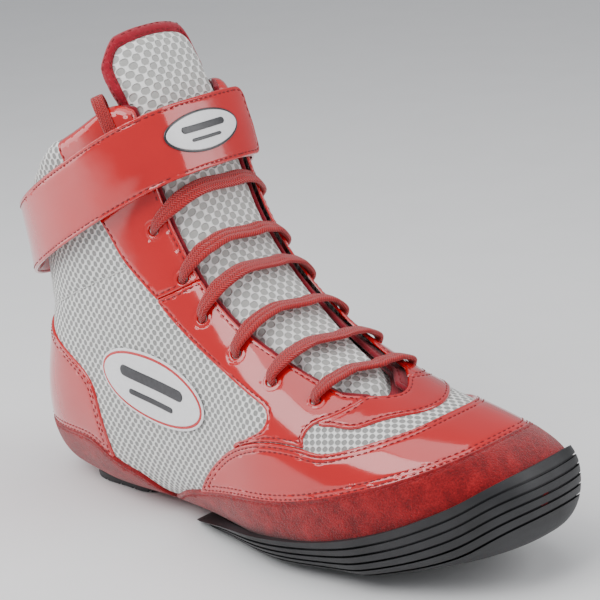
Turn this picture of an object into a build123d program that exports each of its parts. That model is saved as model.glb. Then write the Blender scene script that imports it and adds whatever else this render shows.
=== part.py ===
from build123d import *
import math
import os

os.makedirs("parts", exist_ok=True)

# A right-foot high-top boxing boot in millimetres.
# +X runs from the heel to the toe, +Y to the wearer's inner (medial) side, +Z up.
# The boot stands on z = 0 and is centred on the origin in plan.
CENTRE_X = 142.46
CENTRE_Y = -0.80

# Foot form.  Each row is one slice, fanned from the toe, over the instep, to the top line:
# heel-side point x, z; throat-side point x, z; half width lateral, medial; middle y;
# height share of the widest level; squareness of the lower and the upper half.
SLICES = [
    (286.0, 34.0, 286.0, 47.0, 13.0, 13.0, 9.0, 0.50, 2.4, 2.4),
    (281.5, 29.5, 281.0, 54.0, 23.0, 23.0, 8.0, 0.46, 2.8, 2.4),
    (273.0, 25.0, 272.0, 59.5, 31.0, 30.0, 7.0, 0.42, 3.2, 2.4),
    (259.0, 20.0, 257.5, 64.5, 38.0, 36.0, 5.0, 0.38, 3.6, 2.5),
    (240.0, 15.0, 238.0, 69.0, 44.0, 41.0, 3.5, 0.36, 4.0, 2.5),
    (216.0, 11.0, 214.0, 74.5, 48.0, 44.0, 2.0, 0.34, 4.2, 2.6),
    (190.0, 8.0, 190.0, 83.0, 49.0, 44.0, 1.0, 0.34, 4.2, 2.7),
    (165.0, 6.5, 170.0, 93.0, 47.0, 43.0, 0.0, 0.34, 4.0, 2.8),
    (140.0, 6.0, 153.0, 105.0, 43.0, 41.0, 0.0, 0.36, 3.6, 2.9),
    (113.0, 6.0, 139.0, 118.0, 41.0, 40.0, 0.0, 0.40, 3.4, 3.0),
    (84.0, 5.0, 129.0, 130.0, 40.0, 40.0, 0.0, 0.44, 3.2, 3.1),
    (54.0, 3.5, 122.0, 141.0, 40.0, 40.0, 0.0, 0.48, 3.0, 3.2),
    (28.0, 3.5, 117.5, 151.0, 39.0, 40.0, 0.0, 0.52, 2.6, 3.2),
    (6.5, 8.0, 114.5, 160.0, 38.0, 40.0, 0.0, 0.56, 2.4, 3.2),
    (-2.5, 28.0, 111.5, 168.0, 37.0, 40.0, 0.0, 0.58, 2.3, 3.2),
    (0.5, 54.0, 109.0, 175.0, 37.0, 40.0, 0.0, 0.60, 2.1, 3.2),
    (5.0, 78.0, 106.0, 182.0, 37.0, 40.0, 0.0, 0.60, 2.0, 3.2),
    (5.5, 99.0, 103.5, 189.0, 37.0, 40.0, 0.0, 0.60, 2.0, 3.2),
    (3.5, 120.0, 100.0, 198.0, 37.0, 39.0, 0.0, 0.60, 2.0, 3.1),
    (0.0, 140.0, 95.0, 207.0, 37.0, 38.0, 0.0, 0.60, 2.0, 3.0),
    (-4.0, 158.0, 89.0, 217.0, 37.0, 38.0, 0.0, 0.60, 2.0, 2.9),
    (-8.0, 176.0, 82.0, 228.0, 37.0, 38.0, 0.0, 0.60, 2.0, 2.9),
]
OVERRUN = (-12.0, 194.0, 75.0, 239.0, 37.0, 38.0, 0.0, 0.60, 2.0, 2.9)   # one slice past the tongue
NOSE_SHIFT = [0.8, 0.5, 0.25]      # how far a thicker layer also moves the nose forward
HALF_POINTS = 14                   # points along each half of a slice
SEAM = 9                           # the point where every slice starts, low on the lateral side

# Distances of the layers from the foot form, inner face then outer face.
INSOLE = (-7.8, -4.5)
LINING = (-5.9, -4.5)
BOARD = (-4.2, -1.6)
PADDING = (-4.2, -1.6)
COLLAR_PAD = (-8.6, -1.6)
COLLAR_LINING = (-10.1, -8.9)
MESH = (-1.3, -0.1)
PATENT = (0.2, 1.4)
SUEDE = (0.2, 1.9)
BADGE = (0.2, 0.95)
RUBBER = (2.2, 4.4)
RUBBER_BELOW = 4.2
TONGUE = (-13.2, -7.9)
TONGUE_CROWN = -2.6
TAB = (2.2, 3.5)
LOOP_TAPE = (3.8, 4.5)
HOOK_TAPE = (5.1, 5.6)
STRAP = (6.0, 7.5)
STRAP_BADGE = (7.95, 8.5)
STRAP_STANDS_OFF = 3.0             # extra gap behind the ankle


def slice_points(row, grow, below, nose):
    """Points round one slice of the foot form, pushed out by grow (and by below at its heel side)."""
    bx, bz, tx, tz, lateral, medial, middle, share, square_low, square_high = row
    height = math.hypot(tx - bx, tz - bz)
    ux, uz = (tx - bx) / height, (tz - bz) / height
    low = height * share + grow + below
    high = height * (1 - share) + grow
    loop = []
    for side, width in ((-1, lateral + grow), (1, medial + grow)):
        fine = []
        for k in range(181):
            angle = math.pi * k / 180
            c, s = math.cos(angle), max(math.sin(angle), 0.0)
            square = square_high if c >= 0 else square_low
            reach = high if c >= 0 else low
            v = reach * math.copysign(abs(c) ** (2 / square), c)
            fine.append((middle + side * width * s ** (2 / square), height * share + v))
        length = [0.0]
        for p, q in zip(fine, fine[1:]):
            length.append(length[-1] + math.hypot(p[0] - q[0], p[1] - q[1]))
        spaced = []
        j = 0
        for i in range(HALF_POINTS + 1):
            want = length[-1] * i / HALF_POINTS
            while j < 179 and length[j + 1] < want:
                j += 1
            f = (want - length[j]) / (length[j + 1] - length[j])
            spaced.append((fine[j][0] + f * (fine[j + 1][0] - fine[j][0]),
                           fine[j][1] + f * (fine[j + 1][1] - fine[j][1])))
        loop += spaced[:-1] if side < 0 else spaced[:0:-1]
    loop = loop[SEAM:] + loop[:SEAM]
    return [Vector(bx + ux * v + nose * grow, y, bz + uz * v) for y, v in loop]


def form(grow, below=0.0, overrun=False):
    """The foot form as a solid, grown outward by grow."""
    count = 2 * HALF_POINTS
    knots = [i / count for i in range(count + 1)]
    rows = SLICES + [OVERRUN] if overrun else SLICES
    start = 0 if grow > -3 else (1 if grow > -7 else 2)
    rings = []
    for index, row in enumerate(rows):
        if index >= start:
            nose = NOSE_SHIFT[index] if index < len(NOSE_SHIFT) else 0.0
            points = slice_points(row, grow, below, nose)
            rings.append(Wire([Edge.make_spline(points, periodic=True, parameters=knots)]))
    nose_row = SLICES[start]
    tip = Vertex(nose_row[0] + NOSE_SHIFT[start] * grow + 3.0, nose_row[6], (nose_row[1] + nose_row[3]) / 2)
    return Solid.make_loft([tip] + rings, ruled=False)


def layer(inner, outer, below=0.0):
    """The shell between two grown forms."""
    return form(outer, below) - form(inner, below, overrun=True)


def region(view, curves, near, far):
    """A prism over an outline: side view (x, z), top view (x, y) or front view (y, z)."""
    place = {
        "side": lambda a, b: Vector(a, near, b),
        "top": lambda a, b: Vector(a, b, near),
        "front": lambda a, b: Vector(near, a, b),
    }[view]
    push = {"side": Vector(0, far - near, 0), "top": Vector(0, 0, far - near),
            "front": Vector(far - near, 0, 0)}[view]
    edges = []
    first = last = None
    for curve in curves:
        points = [place(a, b) for a, b in curve]
        if last is not None and (points[0] - last).length > 0.01:
            edges.append(Edge.make_line(last, points[0]))
        if len(points) == 2:
            edges.append(Edge.make_line(points[0], points[1]))
        elif len(points) > 2:
            edges.append(Edge.make_spline(points))
        first = first or points[0]
        last = points[-1]
    if (first - last).length > 0.01:
        edges.append(Edge.make_line(last, first))
    return Solid.extrude(Face(Wire(edges)), push)


def corners(*points):
    """Straight-edged outline pieces, one per corner."""
    return [[point] for point in points]


WIDE = 90.0
TOP_LINE = [
    [(-20, 139), (0, 142), (11.5, 148.5), (24, 158), (37, 169), (45, 174.5), (51.7, 176.5)],
    [(51.7, 176.5), (66.5, 184.2), (78.4, 191.5), (86, 195), (92, 194.7), (98, 191.5)],
]
below_top_line = region("side", TOP_LINE + corners((120, 200), (320, 200), (320, -20), (-40, -20),
                                                   (-40, 139)), -WIDE, WIDE)
lateral_half = Solid.make_box(400, WIDE, 300).moved(Location((-60, -WIDE, -30)))

# The throat slot, seen square to the instep: distance up the throat from its front end, and y.
THROAT_FRONT = Vector(218.0, 0.0, 75.0)
THROAT_UP = Vector(-0.698, 0.0, 0.716)
THROAT_OUT = Vector(0.716, 0.0, 0.698)


def throat_slot(half_widths, front):
    """A prism through the throat, rounded at its front end."""
    left = [THROAT_FRONT + THROAT_UP * a + Vector(0, -w, 0) for a, w in half_widths]
    right = [THROAT_FRONT + THROAT_UP * a + Vector(0, w, 0) for a, w in reversed(half_widths)]
    nose = THROAT_FRONT + THROAT_UP * front
    low = [point - THROAT_OUT * 60 for point in right + [nose] + left]
    count = len(right)
    edges = [
        Edge.make_spline(low[:count]),
        Edge.make_spline([low[count - 1], low[count], low[count + 1]]),
        Edge.make_spline(low[count + 1:]),
        Edge.make_line(low[-1], low[0]),
    ]
    return Solid.extrude(Face(Wire(edges)), THROAT_OUT * 120)


SLOT = [(12, 19.5), (30, 22.5), (55, 26.0), (80, 27.5), (110, 27.5), (150, 27.0), (215, 26.0)]
slot = throat_slot(SLOT, 0.0)
facing_slot = throat_slot([(a + 3, w - 3.2) for a, w in SLOT], 4.0)
crown_slot = throat_slot([(a + 5, w - 5.0) for a, w in SLOT], 6.0)


def trimmed(shell):
    """A shell cut down to the top line of the boot."""
    return shell & below_top_line


# Lines seen from the side.
FLOOR = [(-6, 24), (3, 14), (28, 9.5), (54, 9), (84, 10.5), (113, 11.5), (140, 11.5), (165, 12),
         (190, 13.5), (216, 16.5), (240, 20.5), (259, 25.5), (273, 30.5), (281, 35)]
HEEL_BAND = [(-20, 31), (9, 30), (42, 32), (57, 29.5), (70, 23.5), (84, 19), (94.8, 9.5)]
TOE_BAND = [(95.2, 9.5), (108, 16), (121, 22), (153, 30), (178, 34), (200, 38.6), (221.5, 45),
            (237, 50), (252.5, 55.5), (261, 59), (267, 62), (271, 66)]
COUNTER_FRONT = [(-20, 84), (5, 83), (18, 81), (30, 77.5), (40, 73), (51, 67.5), (58.5, 60),
                 (61, 50), (63.5, 38), (66.5, 20)]
OVERLAY_TOP = [(126, 20), (138, 36), (153, 49), (168, 56.5), (181, 59.5), (192, 59.8), (200, 59.2),
               (207, 58.6), (217, 60.6), (231, 64.8), (240, 68), (246, 72)]
COLLAR_SEAM = [(-20, 88), (5, 88.5), (29.7, 94.4), (57, 107), (84, 119), (100, 126)]
UNDERSOLE = [(90, -6), (150, -6), (190, -5), (216, -2), (240, 3), (259, 8), (273, 13), (300, 24)]
RUBBER_TOP = [(104, -3), (112, 2), (130, 7.5), (150, 12), (175, 16), (196, 19), (228, 27),
              (245, 33), (260, 40), (271, 46), (280, 52), (300, 58)]


def below_line(line, right=320.0, low=-20.0, left=-40.0):
    """The prism under a side-view line."""
    return region("side", [line] + corners((right, line[-1][1]), (right, low), (left, low),
                                           (left, line[0][1])), -WIDE, WIDE)


def raised(line, lift):
    return [(x, z + lift) for x, z in line]


under_floor = below_line(FLOOR)
under_insole_edge = below_line(raised(FLOOR, 3.5))
under_mesh_edge = below_line(raised(FLOOR, -2.5))
under_collar_seam = region("side", [COLLAR_SEAM] + corners((320, 140), (320, -20), (-40, -20),
                                                           (-40, 88)), -WIDE, WIDE)
heel_band = region("side", [HEEL_BAND] + corners((94.8, -20), (-40, -20), (-40, 31)), -WIDE, WIDE)
toe_band = region("side", [TOE_BAND] + corners((272, 80), (320, 80), (320, -20), (95.2, -20)),
                  -WIDE, WIDE)

tongue_rear = [(216, 56), (182, 66), (160, 77), (142, 88), (126, 101), (114, 114), (106, 127),
               (101, 139), (97, 150), (92, 168), (87, 182), (79, 197), (70, 214), (62, 232)]
tongue_zone = region("side", [tongue_rear] + corners((140, 232), (240, 100), (228, 50)), -WIDE, WIDE)
clear_of_tongue = region("side", [[(x - 1.2, z - 1.2) for x, z in tongue_rear]] +
                         corners((140, 238), (245, 100), (232, 46)), -WIDE, WIDE)

parts = {}


def eyelet_at(row, share, side, grow):
    """A point on the grown form: slice number, share of the half slice from the top, and side."""
    index = int(math.floor(row))
    blend = row - index
    share_point = share * HALF_POINTS
    low = int(math.floor(share_point))
    part = share_point - low
    found = []
    for number in (index, index + 1):
        loop = slice_points(SLICES[number], grow, 0.0, 0.0)
        loop = loop[-SEAM:] + loop[:-SEAM]
        count = len(loop)
        first, second = (low, low + 1) if side < 0 else ((-low) % count, (-low - 1) % count)
        found.append(loop[first] * (1 - part) + loop[second] * part)
    return found[0] * (1 - blend) + found[1] * blend


# Eyelets as (slice, share of the half slice from the centre line), top pair last.
EYELETS = [(5.8, 0.215), (6.8, 0.235), (7.9, 0.24), (9.15, 0.235), (10.3, 0.20), (12.5, 0.185)]
MEDIAL_SHIFT = -0.12
EYELET_RADIUS = 2.6

eyelet_punches = []
for row, share in EYELETS:
    for side in (-1, 1):
        at = row if side < 0 else row + MEDIAL_SHIFT
        inner = eyelet_at(at, share, side, -7.0)
        outer = eyelet_at(at, share, side, 5.0)
        axis = outer - inner
        eyelet_punches.append(Solid.make_cylinder(EYELET_RADIUS, axis.length,
                                                  Plane(origin=inner, z_dir=axis)))


def punched(piece):
    for punch in eyelet_punches:
        piece = piece - punch
    return piece


# Sole unit
sole_cup = form(RUBBER[1], RUBBER_BELOW) - form(RUBBER[0], overrun=True)
sole_zone = region("side", [RUBBER_TOP] + corners((320, 60), (320, -20), (104, -20)), -WIDE, WIDE)
above_ground = Solid.make_box(500, 200, 300).moved(Location((-60, -100, 0)))
sole = sole_cup & sole_zone & above_ground
groove_ring = form(9.0, RUBBER_BELOW) - form(RUBBER[1] - 1.3, RUBBER_BELOW - 1.0, overrun=True)
RIBS = 6
for number in range(1, RIBS):
    share = number / RIBS
    xs = [118, 150, 175, 196, 228, 245, 260, 271, 280, 296]
    tops = [4.5, 12, 16, 19, 27, 33, 40, 46, 52, 57]
    lows = [0.5, 0.5, 0.6, 1.0, 4.0, 8.0, 13.0, 18.0, 24.0, 33.0]
    middle = [low + (top - low) * share for low, top in zip(lows, tops)]
    upper = [(x, z + 0.55) for x, z in zip(xs, middle)]
    lower = [(x, z - 0.55) for x, z in zip(xs, middle)]
    groove = region("side", [upper, lower[::-1]], -WIDE, WIDE)
    sole = sole - (groove_ring & groove)
parts["outsole_forefoot"] = sole

heel_outline = [(19, 0), (22, -11), (31, -16.5), (50, -17.5), (66, -16), (72, -8), (72, 8), (66, 16),
                (50, 17.5), (31, 16.5), (22, 11), (19, 0)]
heel_pad = region("top", [heel_outline], 0.0, 3.4) - form(RUBBER[0])
for x in (24, 34, 44, 54, 64):
    groove = Solid.make_box(1.6, 60, 0.7).moved(Location((x, -30, 0)))
    heel_pad = heel_pad - groove
parts["outsole_heel_pad"] = heel_pad

suede = trimmed(layer(*SUEDE))
parts["suede_heel_cup"] = suede & heel_band
parts["suede_toe_cup"] = suede & toe_band

board = trimmed(layer(*BOARD))
parts["insole_board"] = board & under_floor
parts["insole"] = trimmed(layer(*INSOLE)) & under_insole_edge
mesh = trimmed(layer(*MESH))
parts["lasting_sock"] = mesh & under_mesh_edge

# Mesh upper
upper = (mesh - under_mesh_edge) - slot
quarter_zone = region("side", corners((163, -20), (188, 110), (188, 220), (-40, 220), (-40, -20)),
                      -WIDE, WIDE)
vamp_zone = region("side", corners((163.3, -20), (188.3, 110), (188.3, 160), (320, 160), (320, -20)),
                   -WIDE, WIDE)
quarters = punched(upper & quarter_zone)
parts["vamp_mesh"] = punched(upper & vamp_zone)
parts["quarter_mesh_lateral"] = quarters & lateral_half
parts["quarter_mesh_medial"] = quarters - lateral_half

# Patent panels
patent = trimmed(layer(*PATENT))
patent_above = (patent - heel_band) - toe_band
counter_zone = region("side", [COUNTER_FRONT] + corners((66.5, -20), (-40, -20), (-40, 84)),
                      -WIDE, WIDE)
parts["heel_counter_patent"] = patent_above & counter_zone
overlay_zone = region("side", [OVERLAY_TOP] + corners((247, 90), (320, 90), (320, -20), (126, -20)),
                      -WIDE, WIDE)
parts["toe_overlay"] = patent_above & overlay_zone

OVERLAP = [(109, 110), (122, 116.3), (135, 124)]
lower_stay = [
    OVERLAP[::-1],
    [(109, 110), (118.7, 101), (137, 89.3), (154.6, 80.6), (169, 75), (175.8, 71.7), (177.3, 67.7),
     (173.5, 62.4), (158, 54)],
    [(158, 52.2), (168, 56.8), (181, 59.8), (192, 60.1), (198.6, 59.6)],
    [(197.2, 63), (198.0, 66.5), (201, 69.2), (206, 71), (209.5, 73.5)],
] + corners((212, 90), (160, 150))
upper_stay = [
    raised(OVERLAP, 0.3),
] + corners((150, 160), (118, 215)) + [
    [(98, 215), (60, 205), (51.7, 176.5), (66, 156), (78.6, 138.9), (88.8, 125.5), (102.3, 115.2),
     (108.8, 110.6)],
]
lower_stay_zone = region("side", lower_stay, -WIDE, WIDE)
upper_stay_zone = region("side", upper_stay, -WIDE, WIDE)
stays_open = punched(patent_above - slot)
lower_stays = (stays_open & lower_stay_zone) - overlay_zone
upper_stays = stays_open & upper_stay_zone
flank = 8.0
lateral_flank = Solid.make_box(400, WIDE, 300).moved(Location((-60, -WIDE - flank, -30)))
medial_flank = Solid.make_box(400, WIDE, 300).moved(Location((-60, flank, -30)))
parts["eyestay_lower_lateral"] = lower_stays & lateral_flank
parts["eyestay_lower_medial"] = lower_stays & medial_flank
parts["eyestay_upper_lateral"] = upper_stays & lateral_flank
parts["eyestay_upper_medial"] = upper_stays & medial_flank

throat_outline = [
    [(203, -36), (208, -33.5), (217, -29.5), (224, -19.7), (231.5, -7), (233.5, 3), (231.5, 13),
     (224, 24), (214, 33), (203, 38)],
]
throat_zone = region("top", throat_outline + corners((201, 38), (201, -36)), 55.0, 120.0)
throat_piece = ((patent_above - slot) & throat_zone) - lower_stay_zone
parts["throat_piece"] = throat_piece - overlay_zone

# Inner reinforcements and linings
padding = (trimmed(layer(*PADDING)) - under_floor) - facing_slot
facing_depth = region("side", [[(x + 2, z + 2) for x, z in tongue_rear]] +
                      corners((140, 232), (240, 100), (226, 52)), -WIDE, WIDE)
facings = punched(padding & facing_depth)
parts["facing_lateral"] = facings & lateral_flank
parts["facing_medial"] = facings & medial_flank
packing = padding - facing_depth
stiff_zone = region("side", [[(-20, 78), (18, 76), (46, 66), (56, 50), (60, 20)]] +
                    corners((60, -20), (-40, -20), (-40, 78)), -WIDE, WIDE)
puff_zone = region("side", corners((232, -20), (243, 110), (320, 110), (320, -20)), -WIDE, WIDE)
parts["counter_stiffener"] = packing & stiff_zone
parts["toe_puff"] = packing & puff_zone
foam = ((packing - stiff_zone) - puff_zone) & under_collar_seam
quarter_foam = foam & quarter_zone
parts["vamp_backing"] = foam & vamp_zone
parts["quarter_foam_lateral"] = quarter_foam & lateral_half
parts["quarter_foam_medial"] = quarter_foam - lateral_half

lining = ((trimmed(layer(*LINING)) - under_insole_edge) - facing_slot)
collar_zone = region("side", [COLLAR_SEAM] + corners((110, 240), (-40, 240), (-40, 88)),
                     -WIDE, WIDE) - clear_of_tongue
parts["lining"] = punched(lining - collar_zone)
lace_channel = region("side", [[(x - 11, z) for x, z in tongue_rear[5:]]] + corners((150, 232), (150, 114)),
                      -WIDE, 0)
parts["collar_padding"] = (trimmed(layer(*COLLAR_PAD)) & collar_zone) - lace_channel
parts["collar_lining"] = trimmed(layer(*COLLAR_LINING)) & collar_zone

# Tongue, in two lengths that meet at a soft fold just above the strap
FOLD_X = 97.5
FOLD_Z = 196.6
FOLD_BACK = 9.0
tongue_wide = layer(*TONGUE) & tongue_zone
tongue_crown = (layer(TONGUE[0], TONGUE_CROWN) & tongue_zone) & crown_slot
below_fold = Solid.make_box(400, 200, FOLD_Z - 0.4 + 20).moved(Location((-60, -100, -20)))
parts["tongue"] = (tongue_wide & below_fold) + (tongue_crown & below_fold)
tip_outline = [(-30.5, 195), (-31, 203), (-28, 213.5), (-17, 221.5), (0, 224), (17, 221.5),
               (28, 213.5), (31, 203), (30.5, 195)]
tip_zone = region("front", [tip_outline], 40, 140)
rise = math.tan(math.radians(FOLD_BACK))
above_fold = region("side", corners((FOLD_X, FOLD_Z + 0.3), (160, FOLD_Z + 0.3), (160, 260), (20, 260),
                                    (20, FOLD_Z + 0.3 + (FOLD_X - 20) * rise)), -WIDE, WIDE)
tongue_tip = (layer(TONGUE[0], -3.2) & tongue_zone) & above_fold & tip_zone
binding_inner = [(y * 0.89, 197 + (z - 197) * 0.875) for y, z in tip_outline]
binding_hollow = region("front", [binding_inner], 40, 140)
parts["tongue_top"] = tongue_tip & binding_hollow
parts["tongue_binding"] = tongue_tip - binding_hollow

# Strap: a flat band climbing forward round the shaft
CLIMB = math.radians(29.0)
ALONG = Vector(math.cos(CLIMB), 0, math.sin(CLIMB))
ACROSS = Vector(-math.sin(CLIMB), 0, math.cos(CLIMB))
BAND_START = Vector(15.5, 0, 107.4)
BAND_WIDTH = 31.5
BACK_FOLD = 18.4
FRONT_FOLD = 89.3
FOLD_GAP = 0.7
STRAP_END_Y = 30.5


def band(start, end, y_low, y_high, inset=0.0):
    """A box along the strap: distances along it, limits in y, and an inset from both edges."""
    corner = BAND_START + ALONG * start + ACROSS * inset + Vector(0, y_low, 0)
    plane = Plane(origin=corner, x_dir=ALONG, z_dir=ACROSS)
    height = BAND_WIDTH - 2 * inset
    return Solid.make_box(end - start, y_high - y_low, height, plane)


strap = layer(*STRAP, below=STRAP_STANDS_OFF) & band(-60, 170, -WIDE, WIDE)
parts["strap_side"] = strap & band(BACK_FOLD + FOLD_GAP, FRONT_FOLD - FOLD_GAP, -WIDE, -5)
parts["strap_front"] = strap & band(FRONT_FOLD + FOLD_GAP, 170, -WIDE, STRAP_END_Y)
strap_rest = strap - band(BACK_FOLD - FOLD_GAP, 170, -WIDE, 4)
parts["strap_back"] = strap_rest - band(88, 170, 0, WIDE)
tab = trimmed(layer(*TAB)) & band(52, 170, 9, WIDE, 0.5)
parts["strap_tab"] = tab
loop_tape = trimmed(layer(*LOOP_TAPE)) & band(80, 170, 11, WIDE, 3.0)
parts["loop_tape"] = loop_tape
hook_tape = layer(*HOOK_TAPE) & band(FRONT_FOLD + 6, 170, 6, STRAP_END_Y + 1.2, 2.5)
parts["hook_tape"] = hook_tape


def ellipse(centre, half_length, half_height, tilt, count=24):
    turn = math.radians(tilt)
    points = []
    for k in range(count + 1):
        a = 2 * math.pi * k / count
        u, v = half_length * math.cos(a), half_height * math.sin(a)
        points.append((centre[0] + u * math.cos(turn) - v * math.sin(turn),
                       centre[1] + u * math.sin(turn) + v * math.cos(turn)))
    return points


front_patch = region("front", [ellipse((-4, 180.5), 21, 8.8, 0)], 85, 150)
parts["strap_badge"] = layer(*STRAP_BADGE, below=STRAP_STANDS_OFF) & front_patch
side_patch = region("side", [ellipse((103, 67.6), 35, 16.5, -9)], -WIDE, -10)
parts["side_badge"] = layer(*BADGE) & side_patch

# Lace: one flat lace, parallel bars, each run passing inside to the next pair
LACE_WIDTH = 8.4
LACE_THICK = 2.2
OUTSIDE = 3.2
INSIDE = -6.75


def surface_normal(row, share, side):
    return (eyelet_at(row, share, side, 1.0) - eyelet_at(row, share, side, -1.0)).normalized()


def ribbon(path):
    """A flat lace through (slice, share, side, offset, width, thickness) points."""
    centres = [eyelet_at(row, share, side, grow) for row, share, side, grow, _, _ in path]
    rings = []
    last_across = Vector(1, 0, 0)
    last_ring = None
    for index, (row, share, side, _, width, thick) in enumerate(path):
        before = centres[max(index - 1, 0)]
        after = centres[min(index + 1, len(centres) - 1)]
        tangent = (after - before).normalized()
        across = surface_normal(row, share, side).cross(tangent)
        if across.length < 0.5:
            across = last_across
        across = (across - tangent * across.dot(tangent)).normalized()
        last_across = across
        up = tangent.cross(across)
        ring = [centres[index] + across * (a * width / 2) + up * (b * thick / 2)
                for a, b in ((-1, -1), (1, -1), (1, 1), (-1, 1))]
        if last_ring is not None:
            turns = [ring[k:] + ring[:k] for k in range(4)]
            ring = min(turns, key=lambda t: sum((p - q).length for p, q in zip(t, last_ring)))
        last_ring = ring
        rings.append(Wire.make_polygon(ring, close=True))
    return Solid.make_loft(rings, ruled=True)


path = [(EYELETS[0][0] + 0.28 - 0.07 * k, EYELETS[0][1] + 0.04 - 0.01 * k, -1, INSIDE, 5.0, 1.4)
        for k in range(4)]
for number, (row, share) in enumerate(EYELETS):
    near = -1 if number % 2 == 0 else 1
    half = {}
    for side in (-1, 1):
        own_row = row + (MEDIAL_SHIFT if side > 0 else 0.0)
        half[side] = [(own_row, share, side, -5.4, 3.0, 2.8), (own_row, share, side, -2.0, 3.0, 3.0),
                      (own_row, share, side, 1.2, 3.0, 3.0),
                      (own_row, share - 0.014, side, 2.8, 4.6, 1.9)]
        for k in range(1, 5):
            s = (share - 0.04) * (1 - k / 5)
            half[side].append((own_row, s, side, OUTSIDE - 1.4 * k / 5, LACE_WIDTH, LACE_THICK))
    path += half[near] + half[-near][::-1]
    if number + 1 < len(EYELETS):
        shift = MEDIAL_SHIFT if near < 0 else 0.0
        next_row, next_share = EYELETS[number + 1]
        for k in range(1, 6):
            path.append((row + shift + (next_row - row) * k / 6, share + (next_share - share) * k / 6,
                         -near, INSIDE, 5.6, 1.4))
path += [(row, share, -1, offset, 5.8, 1.4) for row, share, offset in (
    (12.9, 0.19, INSIDE), (14.0, 0.20, INSIDE), (15.2, 0.215, INSIDE), (16.4, 0.235, INSIDE),
    (17.5, 0.255, INSIDE), (18.4, 0.27, INSIDE), (19.0, 0.27, -5.2), (19.2, 0.27, -2.2),
    (19.15, 0.27, 0.9), (18.8, 0.268, 2.9), (18.1, 0.262, 3.1), (17.2, 0.25, 3.1),
    (16.2, 0.24, 3.1))]
parts["lace"] = ribbon(path)

for name, solid in parts.items():
    placed = solid.moved(Location((-CENTRE_X, -CENTRE_Y, 0)))
    export_step(placed, os.path.join("parts", name + ".step"))
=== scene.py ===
import math

import bpy
import numpy as np
from mathutils import Matrix, Vector


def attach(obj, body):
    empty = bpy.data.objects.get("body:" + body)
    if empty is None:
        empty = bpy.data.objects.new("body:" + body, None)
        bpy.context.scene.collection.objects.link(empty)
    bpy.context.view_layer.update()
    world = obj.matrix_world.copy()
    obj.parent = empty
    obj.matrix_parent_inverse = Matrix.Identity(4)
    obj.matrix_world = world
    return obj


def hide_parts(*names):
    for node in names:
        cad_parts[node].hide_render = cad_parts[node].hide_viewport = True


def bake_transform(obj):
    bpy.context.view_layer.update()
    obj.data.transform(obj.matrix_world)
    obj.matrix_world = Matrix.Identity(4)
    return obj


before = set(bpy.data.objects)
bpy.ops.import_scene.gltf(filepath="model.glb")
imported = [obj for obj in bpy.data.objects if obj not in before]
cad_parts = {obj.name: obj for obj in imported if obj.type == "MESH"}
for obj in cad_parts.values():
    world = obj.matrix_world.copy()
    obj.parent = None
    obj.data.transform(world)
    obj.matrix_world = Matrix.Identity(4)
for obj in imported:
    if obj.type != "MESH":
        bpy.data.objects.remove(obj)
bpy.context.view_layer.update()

# The boot is drawn in millimetres with the heel near x = 0; the frame is centred in plan.
CENTRE = np.array([142.46, -0.80, 0.0])
MM = 0.001

# Foot form, one row per slice from the toe to the top line: heel-side point x, z; throat-side
# point x, z; half width lateral, medial; middle y; share of the height where it is widest;
# squareness of the lower and upper half.
SLICES = np.array([
    (286.0, 34.0, 286.0, 47.0, 13.0, 13.0, 9.0, 0.50, 2.4, 2.4),
    (281.5, 29.5, 281.0, 54.0, 23.0, 23.0, 8.0, 0.46, 2.8, 2.4),
    (273.0, 25.0, 272.0, 59.5, 31.0, 30.0, 7.0, 0.42, 3.2, 2.4),
    (259.0, 20.0, 257.5, 64.5, 38.0, 36.0, 5.0, 0.38, 3.6, 2.5),
    (240.0, 15.0, 238.0, 69.0, 44.0, 41.0, 3.5, 0.36, 4.0, 2.5),
    (216.0, 11.0, 214.0, 74.5, 48.0, 44.0, 2.0, 0.34, 4.2, 2.6),
    (190.0, 8.0, 190.0, 83.0, 49.0, 44.0, 1.0, 0.34, 4.2, 2.7),
    (165.0, 6.5, 170.0, 93.0, 47.0, 43.0, 0.0, 0.34, 4.0, 2.8),
    (140.0, 6.0, 153.0, 105.0, 43.0, 41.0, 0.0, 0.36, 3.6, 2.9),
    (113.0, 6.0, 139.0, 118.0, 41.0, 40.0, 0.0, 0.40, 3.4, 3.0),
    (84.0, 5.0, 129.0, 130.0, 40.0, 40.0, 0.0, 0.44, 3.2, 3.1),
    (54.0, 3.5, 122.0, 141.0, 40.0, 40.0, 0.0, 0.48, 3.0, 3.2),
    (28.0, 3.5, 117.5, 151.0, 39.0, 40.0, 0.0, 0.52, 2.6, 3.2),
    (6.5, 8.0, 114.5, 160.0, 38.0, 40.0, 0.0, 0.56, 2.4, 3.2),
    (-2.5, 28.0, 111.5, 168.0, 37.0, 40.0, 0.0, 0.58, 2.3, 3.2),
    (0.5, 54.0, 109.0, 175.0, 37.0, 40.0, 0.0, 0.60, 2.1, 3.2),
    (5.0, 78.0, 106.0, 182.0, 37.0, 40.0, 0.0, 0.60, 2.0, 3.2),
    (5.5, 99.0, 103.5, 189.0, 37.0, 40.0, 0.0, 0.60, 2.0, 3.2),
    (3.5, 120.0, 100.0, 198.0, 37.0, 39.0, 0.0, 0.60, 2.0, 3.1),
    (0.0, 140.0, 95.0, 207.0, 37.0, 38.0, 0.0, 0.60, 2.0, 3.0),
    (-4.0, 158.0, 89.0, 217.0, 37.0, 38.0, 0.0, 0.60, 2.0, 2.9),
    (-8.0, 176.0, 82.0, 228.0, 37.0, 38.0, 0.0, 0.60, 2.0, 2.9),
    (-12.0, 194.0, 75.0, 239.0, 37.0, 38.0, 0.0, 0.60, 2.0, 2.9),
])
NOSE_SHIFT = [0.8, 0.5, 0.25]
THROAT_FRONT = (218.0, 75.0)
THROAT_UP = (-0.698, 0.716)
THROAT_OUT = (0.716, 0.698)
THROAT_DEPTH = 60.0
ROWS_PER_SLICE = 12
HALF_COLUMNS = 130


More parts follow.
